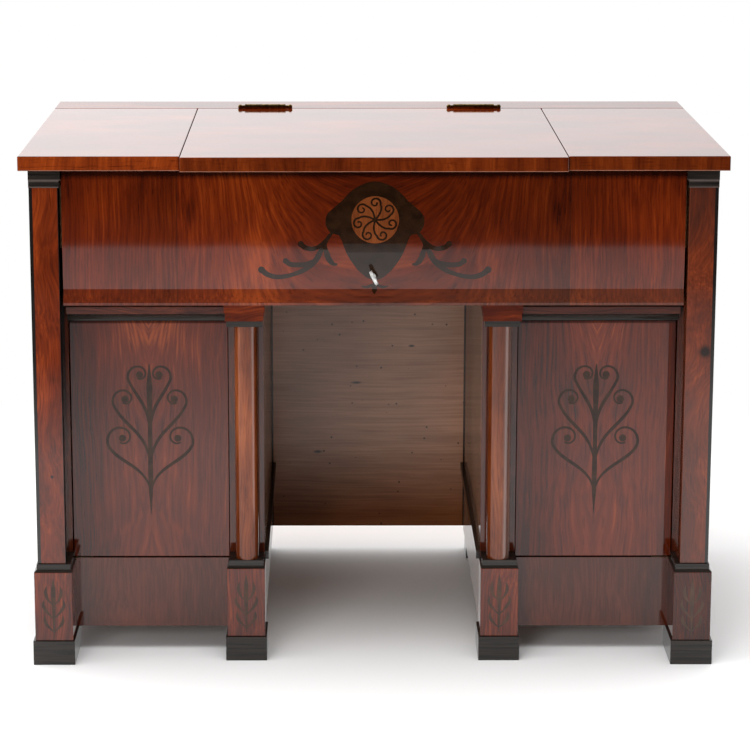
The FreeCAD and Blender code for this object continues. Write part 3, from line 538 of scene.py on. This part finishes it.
def let_in(name, grids, face, material, body, proud=INLAY_PROUD):
    """One inlay from grids of x, z points in millimetres. Each grid becomes a thin slab that follows the
    wood's face, a hair proud of it, and each lies a little deeper than the one before."""
    points, quads = [], []
    base = 0
    for layer, grid in enumerate(grids):
        rows, columns = grid.shape[:2]
        flat = grid.reshape(-1, 2) * MM
        y = face(flat[:, 0], flat[:, 1]) - proud + layer * 2e-6
        points.append(np.column_stack([flat[:, 0], y, flat[:, 1]]))
        index = base + np.arange(rows * columns).reshape(rows, columns)
        cells = np.stack([index[:-1, :-1], index[1:, :-1], index[1:, 1:], index[:-1, 1:]], -1)
        quads.append(cells.reshape(-1, 4))
        base += rows * columns
    mesh = bpy.data.meshes.new(name)
    mesh.from_pydata(np.vstack(points).tolist(), [], np.vstack(quads).tolist())
    mesh.materials.append(material)
    close_seams(mesh)
    face_the_front(mesh)
    made = bpy.data.objects.new(name, mesh)
    bpy.context.scene.collection.objects.link(made)
    slab = made.modifiers.new("thickness", "SOLIDIFY")
    slab.thickness = INLAY_DEPTH
    slab.offset = -1
    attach(made, body)
    return made


def close_seams(mesh):
    """Merges the points that coincide where a round patch meets itself and at its middle."""
    merged = bmesh.new()
    merged.from_mesh(mesh)
    bmesh.ops.remove_doubles(merged, verts=merged.verts, dist=1e-6)
    merged.to_mesh(mesh)
    merged.free()


def face_the_front(mesh):
    """Turns round the faces that look into the wood, so that every one looks forwards."""
    normals = np.empty(len(mesh.polygons) * 3)
    mesh.polygons.foreach_get("normal", normals)
    for number in np.flatnonzero(normals[1::3] > 0):
        mesh.polygons[int(number)].flip()
    mesh.update()


def scroll(side, foot, centre, reach, end_radius, start_turn=205, sweep=330):
    """One branch: up along the stem from its foot, out in a cubic to the volute, and round the volute.
    The volute's radius shrinks from reach to end_radius as a power of the turn that is left."""
    turn = np.linspace(0, 1, 60)
    angle = np.radians(start_turn - sweep * turn)
    radius = end_radius + (reach - end_radius) * (1 - turn) ** 1.6
    volute = np.stack([-centre[0] + radius * np.cos(angle), centre[1] + radius * np.sin(angle)], axis=1)
    start = volute[0]
    heading = np.array([math.sin(angle[0]), -math.cos(angle[0])])
    rise = start[1] - foot
    branch = bezier((0, foot), (0, foot + 0.6 * rise), start - heading * rise * 0.42, start)
    line = np.vstack([branch[:-1], volute])
    return line * (side, 1)


SPRAY_STEM = [(0, 477), (0, 468), (0, 455), (0, 400), (0, 340), (0, 290), (0, 250), (0, 229)]
SPRAY_STEM_WIDTHS = (1.5, 10, 8, 7, 7, 8, 6.5, 0.8)
SPRAY_SCROLLS = ((352, (15.6, 459.4), 20, 6.5), (300, (39.4, 419.5), 21, 7), (258, (44.4, 355), 26, 8))
SCROLL_WIDTHS = (2.6, 3.4, 5.0, 5.4, 4.6, 3.8, 3.2, 2.8)
SCROLL_EYE = 5.8


def spray():
    """The stem, three scrolls on each side and the round eye of each scroll."""
    grids = [strip(through(SPRAY_STEM), SPRAY_STEM_WIDTHS)]
    for foot, centre, reach, end_radius in SPRAY_SCROLLS:
        for side in (1, -1):
            grids.append(strip(scroll(side, foot, centre, reach, end_radius), SCROLL_WIDTHS))
            grids.append(disc((-side * centre[0], centre[1]), SCROLL_EYE))
    return grids


def stained_inlay(name, coat, light=1.0):
    """Dark brown inlay wood with a faint mottle, under polish that may be duller than round it."""
    made, tree, surface, coordinates = blank_material(name)
    mottle = shader(tree, "TexNoise", None, Vector=coordinates, Scale=60.0, Detail=4.0).outputs["Fac"]
    colour = tones(tree, mottle, [(0.35, (0.018, 0.0065, 0.002)), (0.65, (0.036, 0.0135, 0.0045))])
    tree.links.new(scaled(tree, colour, light), surface.inputs["Base Color"])
    polished(surface, coat=coat)
    return made


spray_wood = stained_inlay("stained_spray_wood", 0.62)
for door_name in ("door_left", "door_right"):
    door_low, door_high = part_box(door_name)
    stem_x = (door_low[0] + door_high[0]) / 2 / MM
    door_face = door_low[1]
    let_in(door_name + "_spray", [grid + (stem_x, 0) for grid in spray()],
           lambda x, z: np.full_like(x, door_face), spray_wood, door_name)


# Plinth blocks: a small leafy sprig of stained veneer is let into the front of each of the four. Towards the
# right it is paler and closer to its block's tone.

SPRIG_STEM = [(0, 143), (0, 135), (0, 120), (0, 105), (0, 80), (0, 56), (0, 46)]
SPRIG_STEM_WIDTHS = (1.2, 6.6, 7.4, 5.8, 3.8, 3.3, 1.0)
SPRIG_LEAVES = (((1, 100), (8, 107), (12.5, 119), (11, 131)), ((1, 77), (10, 87), (16.5, 98), (15.5, 108)),
                ((1, 55), (8, 62), (14, 71), (14.5, 82)))
SPRIG_LEAF_WIDTHS = (2.0, 2.8, 5.4, 4.8, 1.0)
SPRIG_FINISHES = (("pilaster_plinth_left", 0.8, 1.3), ("column_plinth_left", 0.8, 1.3),
                  ("column_plinth_right", 0.85, 1.6), ("pilaster_plinth_right", 0.95, 1.8))


def sprig():
    """An upright leaf on a stem with three pairs of leaves that curve up from it."""
    grids = [strip(through(SPRIG_STEM), SPRIG_STEM_WIDTHS)]
    for leaf in SPRIG_LEAVES:
        for side in (1, -1):
            grids.append(strip(through(np.multiply(leaf, (side, 1))), SPRIG_LEAF_WIDTHS))
    return grids


for block_name, sprig_coat, sprig_light in SPRIG_FINISHES:
    sprig_wood = stained_inlay("stained_sprig_" + block_name, sprig_coat, sprig_light)
    block_low, block_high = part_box(block_name)
    block_middle = (block_low[0] + block_high[0]) / 2 / MM
    block_face = block_low[1]
    let_in(block_name + "_sprig", [grid + (block_middle, 0) for grid in sprig()],
           lambda x, z: np.full_like(x, block_face), sprig_wood, "carcase")


# Drawer front: crotch veneer between two upright joints, and upright grain beyond them. It swells a
# little and flares to a lip at its foot. A black shield with a light round medallion sits in its
# middle, between two sets of leafy arms.

FRONT_JOINT = 0.3065
JOINT_HALF = 0.0006
SHADOW_DEPTH = 0.0085
FLARE_HEIGHT = 0.0245
FRIEZE_BROWN = [(0.10, (0.046, 0.0050, 0.0010)), (0.40, (0.088, 0.0098, 0.0014)),
                (0.62, (0.130, 0.0160, 0.0020)), (0.95, (0.235, 0.0360, 0.0042))]
FRONT_RELIEF = 0.009


def drawer_veneer():
    """The flame is brightest left of the shield, with a dark eye beyond on both sides, and it darkens from
    left to right. The outer pieces darken towards the joints. A painted shadow darkens the strip that lies
    under the top's edge, and a grey painted haze of reflection lies over the flare at the foot, most of all
    at the right."""
    low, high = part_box("drawer_front")
    made, tree, surface, coordinates = blank_material("mahogany_drawer_front")
    x, y, z = shader(tree, "SeparateXYZ", None, Vector=coordinates).outputs
    aside = maths(tree, "ABSOLUTE", x)
    flame = turned(tree, crotch(tree, coordinates, 0.0, 0.82, 0.056, 0.0079, 1.0), UPRIGHT, 16.9)
    upright = turned(tree, coordinates, UPRIGHT, 17.6)
    value = grain(tree, flame, 0.18, 0.42, 0.40, 0.03)
    glow = maths(tree, "MULTIPLY", spot(tree, (x, -0.18, 0.05)), 0.2)
    eye = maths(tree, "MULTIPLY", spot(tree, (aside, 0.287, 0.006), (z, 0.734, 0.018)), 0.35)
    value = maths(tree, "SUBTRACT", maths(tree, "ADD", value, glow), eye)
    side = maths(tree, "SUBTRACT", 1.06, maths(tree, "MULTIPLY", clamped(tree, x, -0.15, 0.15), 0.28))
    side = maths(tree, "SUBTRACT", side, maths(tree, "MULTIPLY", clamped(tree, x, 0.20, 0.30), 0.2))
    inner = scaled(tree, tones(tree, value, FRIEZE_BROWN), side)
    outer = tones(tree, grain(tree, upright, 0.14, 0.44, 0.42, 0.03), FRIEZE_BROWN)
    towards_joint = clamped(tree, aside, FRONT_JOINT + 0.10, FRONT_JOINT)
    outer = scaled(tree, outer, maths(tree, "SUBTRACT", 1.05, maths(tree, "MULTIPLY", towards_joint, 0.36)))
    colour = over(tree, maths(tree, "GREATER_THAN", aside, FRONT_JOINT), inner, outer)
    joint = maths(tree, "COMPARE", aside, FRONT_JOINT)
    joint.node.inputs[2].default_value = JOINT_HALF
    colour = over(tree, maths(tree, "MULTIPLY", joint, 0.6), colour, (0.02, 0.006, 0.003, 1))
    # Painted shadow in the strip under the top's edge.
    shadow = clamped(tree, z, high[2] - SHADOW_DEPTH * 2, high[2] - SHADOW_DEPTH)
    colour = scaled(tree, colour, maths(tree, "SUBTRACT", 1.0, maths(tree, "MULTIPLY", shadow, 0.82)))
    # Painted haze: grey that stands for reflection on the flare at the foot.
    painted_haze = shader(tree, "MapRange", None, Value=x, From_Min=-0.5, From_Max=0.5, To_Min=0.05,
                  To_Max=0.2).outputs[0]
    painted_haze = maths(tree, "MULTIPLY", painted_haze, maths(tree, "LESS_THAN", z, low[2] + FLARE_HEIGHT))
    finish_veneer(tree, surface, flame, over(tree, painted_haze, colour, (0.10, 0.085, 0.065, 1)))
    return made


dress(drawer_veneer(), "drawer_front")


def front_face(x, z):
    """The y of the drawer front at a height: the most forward of its mesh's points at that height."""
    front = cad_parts["drawer_front"].data
    corners = np.empty(len(front.vertices) * 3)
    front.vertices.foreach_get("co", corners)
    corners = corners.reshape(-1, 3)
    ahead = corners[corners[:, 1] < corners[:, 1].min() + FRONT_RELIEF]
    levels = np.unique(np.round(ahead[:, 2], 5))
    depth = np.array([ahead[np.abs(ahead[:, 2] - level) < 2e-5, 1].min() for level in levels])
    return np.interp(z, levels, depth)


SHIELD_X = 1.8
SHIELD_HALF_WIDTHS = ((781.2, 0.5), (780.6, 7), (779, 13.1), (773.5, 26.3), (766.5, 36.5), (758, 45),
                      (751, 51), (745.5, 57.5), (741.3, 62.4), (733, 72), (728, 75.2), (723, 76.7),
                      (717, 77), (711.8, 76.2), (703.4, 72), (699, 66), (697, 56.5), (694.9, 54.4),
                      (683.6, 50), (669.5, 44.9), (655.4, 36.9), (641.2, 26.4), (630, 13.6), (624.2, 0.5))
MEDALLION = (2.2, 721)
MEDALLION_RADIUS = 37
WHIRL_ARMS = 7
WHIRL_EYE_RADIUS = 26.5


def shield():
    """Rows from edge to edge: at each height the half width is read off the outline."""
    rows = np.array(SHIELD_HALF_WIDTHS)
    across = np.linspace(-1, 1, 9)[None, :]
    x = SHIELD_X + rows[:, 1:] * across
    z = np.repeat(rows[:, :1], across.shape[1], axis=1)
    return np.stack([x, z], axis=2)


def whirl():
    """Seven equal arms turned about the medallion's middle. Each swings out and curls round its eye."""
    turn = np.linspace(0, 1, 40)
    angle = np.radians(60 + 400 * turn - 75)
    radius = 2.2 + 6.6 * (1 - turn)
    eye = np.array([0, WHIRL_EYE_RADIUS])
    curl = eye + np.stack([radius * np.cos(angle), radius * np.sin(angle)], axis=1)
    arm = np.vstack([bezier((0, 0), (7, 8), (11.5, 16), curl[0], 16)[:-1], curl])
    grids = []
    for number in range(WHIRL_ARMS):
        lean = -2 * math.pi * number / WHIRL_ARMS
        turned_arm = arm @ np.array([[math.cos(lean), math.sin(lean)], [-math.sin(lean), math.cos(lean)]])
        grids.append(strip(turned_arm + MEDALLION, (3.2, 3.0, 3.2, 2.8, 2.6)))
    return grids


ARM_LONG = ((-63, 706), (-70, 697), (-79.4, 682), (-92.5, 657), (-110, 642), (-132, 633.3), (-152, 630.5),
            (-167, 634.3), (-177, 642))
ARM_MIDDLE = ((-86, 668), (-95, 656), (-107, 650.8), (-121, 649.8), (-132, 651), (-139, 656))
ARM_UPPER = ((-74, 692), (-83.7, 682), (-91, 677), (-99.1, 675.3), (-109, 677.5), (-115.5, 683))
ARM_INNER = ((-77, 690), (-77.2, 680), (-75.5, 670), (-71.5, 658.6), (-65, 651.5), (-58.5, 650.5))
LEAF_PAIR = ((-1, 620), (-7, 616), (-14, 614.2), (-21, 616))
ARMS = ((ARM_LONG, (4, 7, 9, 7.8, 6.5, 7.5, 9), 5.2), (ARM_MIDDLE, (4, 7.8, 7.8, 8), 4.6),
        (ARM_UPPER, (4, 6, 7.5, 8), 4.8), (ARM_INNER, (2.6, 5.2, 9, 8.5, 3), 0.0),
        (LEAF_PAIR, (2.6, 5, 4.4, 1.4), 0.0))


def arms():
    """Two sets of tapering arms, one the mirror image of the other. An arm whose end radius isn't zero
    ends in a round tip."""
    grids = []
    for side in (1, -1):
        for line, widths, end in ARMS:
            mirrored = np.multiply(line, (side, 1)) + (SHIELD_X, 0)
            grids.append(strip(through(mirrored), widths))
            if end:
                grids.append(disc(mirrored[-1], end))
    return grids


shield_wood = stained_inlay("stained_shield_wood", 1.0, 0.62)
drop = strip(through([(1.5, 624), (1.5, 618), (1.2, 610), (1.0, 603)]), (2.4, 5, 8.5, 7, 1))
let_in("drawer_front_shield", [shield(), drop, *arms()], front_face, shield_wood, "drawer")

LIGHT_WOOD = [(0.15, (0.12, 0.028, 0.007)), (0.5, (0.19, 0.048, 0.012)), (0.85, (0.27, 0.074, 0.020))]
let_in("drawer_front_medallion", [disc(MEDALLION, MEDALLION_RADIUS, 6, 72)], front_face,
       veneer("light_mahogany", UPRIGHT, 20, LIGHT_WOOD, 0.84), "drawer", 2 * INLAY_PROUD)
let_in("drawer_front_whirl", whirl(), front_face, shield_wood, "drawer", 3 * INLAY_PROUD)


# Metalwork: brass hinges and pivot plates let into the wood, and the steel lock with its key. The brass has
# darkened with age, most on the doors' hidden pivots. The key is polished by handling, and its half-diffuse
# near-white colour is a painted highlight.

def aged_metal(name, bright, tarnish, roughness, metallic=1.0):
    """Metal whose colour and dullness change with a slow noise, as tarnish gathers and wears off."""
    made, tree, surface, coordinates = blank_material(name)
    patch = shader(tree, "TexNoise", None, Vector=coordinates, Scale=160.0, Detail=5.0).outputs["Fac"]
    tree.links.new(tones(tree, patch, [(0.38, tarnish), (0.62, bright)]), surface.inputs["Base Color"])
    tree.links.new(shader(tree, "MapRange", None, Value=patch, From_Min=0.35, From_Max=0.65,
                          To_Min=roughness + 0.18, To_Max=roughness).outputs[0], surface.inputs["Roughness"])
    surface.inputs["Metallic"].default_value = metallic
    return made


dress(aged_metal("aged_brass", (0.36, 0.24, 0.08), (0.16, 0.10, 0.035), 0.3), "lid_hinge_strip_leaves",
      "lid_hinge_lid_leaves", "hinge_pins", "flap_hinge_side_leaves", "flap_hinge_leaves_left",
      "flap_hinge_leaves_right")
dress(aged_metal("blackened_brass", (0.10, 0.065, 0.03), (0.035, 0.022, 0.012), 0.4),
      "door_pivot_frame_plates", "door_pivot_plates_left", "door_pivot_plates_right")
dress(aged_metal("worn_steel", (0.62, 0.60, 0.57), (0.26, 0.24, 0.22), 0.25), "lock_case", "lock_bolt",
      "lock_screws")
# The key's half-diffuse near-white colour is a painted highlight.
dress(aged_metal("handled_steel_and_highlight", (0.92, 0.92, 0.90), (0.60, 0.60, 0.58), 0.22, 0.45), "key")


# Mirror: silvered glass held under the lid by a narrow oak frame. The silvering has begun to perish in
# small dull spots.

dress(plain_wood("mirror_frame_oak", ALONG_X, 4.4, OAK), "mirror_frame")


def silvered_glass():
    """Silvering with small dull spots where it has begun to perish."""
    made, tree, surface, coordinates = blank_material("silvered_glass")
    spots = shader(tree, "TexNoise", None, Vector=coordinates, Scale=90.0, Detail=8.0).outputs["Fac"]
    tree.links.new(tones(tree, spots, [(0.24, (0.30, 0.29, 0.27)), (0.34, (0.86, 0.87, 0.87))]),
                   surface.inputs["Base Color"])
    surface.inputs["Metallic"].default_value = 1.0
    surface.inputs["Roughness"].default_value = 0.03
    return made


dress(silvered_glass(), "mirror")


# Studio: a pale floor, light from behind, darkness in front, and two soft lamps. The lamps don't show in
# the polish, which mirrors only the desk itself, the floor and the sky.

FLOOR_HALF = 14.0
BRIGHT_FLOOR_END = -3.5
COLUMN_Y = -0.28


def studio_floor():
    """A wide flat square. Seen in the polish, it is bright up to a line in front of the desk and dark
    beyond it, with a brighter wedge that opens out to the right of the columns."""
    mesh = bpy.data.meshes.new("studio_floor")
    corners = [(-FLOOR_HALF, -FLOOR_HALF, 0), (FLOOR_HALF, -FLOOR_HALF, 0), (FLOOR_HALF, FLOOR_HALF, 0),
               (-FLOOR_HALF, FLOOR_HALF, 0)]
    mesh.from_pydata(corners, [], [(0, 1, 2, 3)])
    floor = bpy.data.objects.new("studio_floor", mesh)
    bpy.context.scene.collection.objects.link(floor)
    made, tree, surface, coordinates = blank_material("studio_floor_white")
    surface.inputs["Base Color"].default_value = (0.97, 0.97, 0.97, 1)
    surface.inputs["Roughness"].default_value = 0.6
    surface.inputs["Specular IOR Level"].default_value = 0.2
    x, y, z = shader(tree, "SeparateXYZ", None, Vector=coordinates).outputs
    ray = tree.nodes.new("ShaderNodeLightPath").outputs
    near = clamped(tree, y, BRIGHT_FLOOR_END - 0.05, BRIGHT_FLOOR_END + 0.05)
    slope = maths(tree, "DIVIDE", maths(tree, "SUBTRACT", COLUMN_Y, y), x)
    band = maths(tree, "MULTIPLY", spot(tree, (slope, 0.45, 0.26)), clamped(tree, x, 0.60, 0.70))
    close = clamped(tree, y, -3.0, -1.5)
    glow = maths(tree, "ADD", maths(tree, "MULTIPLY", band, 2.2), maths(tree, "MULTIPLY", close, 0.24))
    glow = maths(tree, "MULTIPLY", glow, ray["Is Glossy Ray"])
    shine = shader(tree, "Emission", None, Color=(1, 1, 1, 1), Strength=glow).outputs[0]
    lit = shader(tree, "AddShader", None, in0=surface.outputs[0], in1=shine).outputs[0]
    dark = shader(tree, "BsdfDiffuse", None, Color=(0.03, 0.03, 0.03, 1)).outputs[0]
    shown = maths(tree, "MULTIPLY", near, maths(tree, "ADD", maths(tree, "MULTIPLY", close, 0.2), 0.8))
    dim = maths(tree, "MULTIPLY", maths(tree, "SUBTRACT", 1.0, shown), ray["Is Glossy Ray"])
    lit = shader(tree, "MixShader", None, in0=dim, in1=lit, in2=dark).outputs[0]
    distance = shader(tree, "VectorMath", {"operation": "LENGTH"}, in0=coordinates).outputs["Value"]
    far = maths(tree, "MULTIPLY", clamped(tree, distance, 0.95, 1.7), ray["Is Camera Ray"])
    white = shader(tree, "Emission", None, Color=(1, 1, 1, 1), Strength=1.0).outputs[0]
    whole = shader(tree, "MixShader", None, in0=far, in1=lit, in2=white).outputs[0]
    tree.links.new(whole, tree.nodes["Material Output"].inputs["Surface"])
    mesh.materials.append(made)


def studio_world():
    """White to the camera. As light, and more so in the polish, it is bright behind and dim in front. In
    the polish it is also brighter at the left."""
    world = bpy.data.worlds.new("studio")
    bpy.context.scene.world = world
    world.use_nodes = True
    tree = world.node_tree
    direction = tree.nodes.new("ShaderNodeTexCoord").outputs["Generated"]
    x, y, z = shader(tree, "SeparateXYZ", None, Vector=direction).outputs
    behind = clamped(tree, y, -0.15, 0.35)
    light = shader(tree, "MapRange", None, Value=behind, To_Min=0.35, To_Max=1.4).outputs[0]
    mirrored = shader(tree, "MapRange", None, Value=behind, To_Min=0.02, To_Max=1.38).outputs[0]
    leftwards = maths(tree, "SUBTRACT", 1.0, maths(tree, "MULTIPLY", x, 0.9))
    mirrored = maths(tree, "MULTIPLY", mirrored, leftwards)
    ray = tree.nodes.new("ShaderNodeLightPath").outputs
    seen = over(tree, ray["Is Camera Ray"], over(tree, ray["Is Glossy Ray"], light, mirrored), (1, 1, 1, 1))
    background = tree.nodes["Background"]
    tree.links.new(seen, background.inputs["Color"])
    background.inputs["Strength"].default_value = 1.0


def softbox(name, place, aim, size, power):
    """A square area lamp that faces a point."""
    light = bpy.data.lights.new(name, "AREA")
    light.shape = "RECTANGLE"
    light.size, light.size_y = size
    light.energy = power
    lamp = bpy.data.objects.new(name, light)
    facing = np.subtract(aim, place)
    lamp.location = place
    lamp.rotation_euler = (math.acos(-facing[2] / np.linalg.norm(facing)), 0,
                           math.atan2(-facing[0], facing[1]))
    bpy.context.scene.collection.objects.link(lamp)
    return lamp


studio_floor()
studio_world()
for lamp in (softbox("lamp_front", (-1.8, -5.4, 1.9), (0, 0, 0.5), (2.0, 1.6), 95),
             softbox("lamp_above", (-0.5, -0.7, 3.3), (0, 0, 0.4), (3.0, 2.0), 105)):
    lamp.visible_glossy = False


# Camera: a long lens a little below a standing person's eyes, at the angle of the photograph. Its place and
# its turns, in metres and degrees, were fitted to the desk's own straight edges.

LOOK_DOWN = 12.64
LOOK_ASIDE = 0.178

camera_data = bpy.data.cameras.new("camera")
camera_data.lens = 133.80
camera_data.sensor_width = 36
camera_data.shift_x = 0.0421
camera_data.shift_y = 0.0017
camera = bpy.data.objects.new("camera", camera_data)
camera.location = (-0.0605, -4.6014, 1.4323)
camera.rotation_euler = (math.radians(90 - LOOK_DOWN), 0, math.radians(-LOOK_ASIDE))
bpy.context.scene.collection.objects.link(camera)
bpy.context.scene.camera = camera
bpy.context.scene.view_settings.view_transform = "Standard"
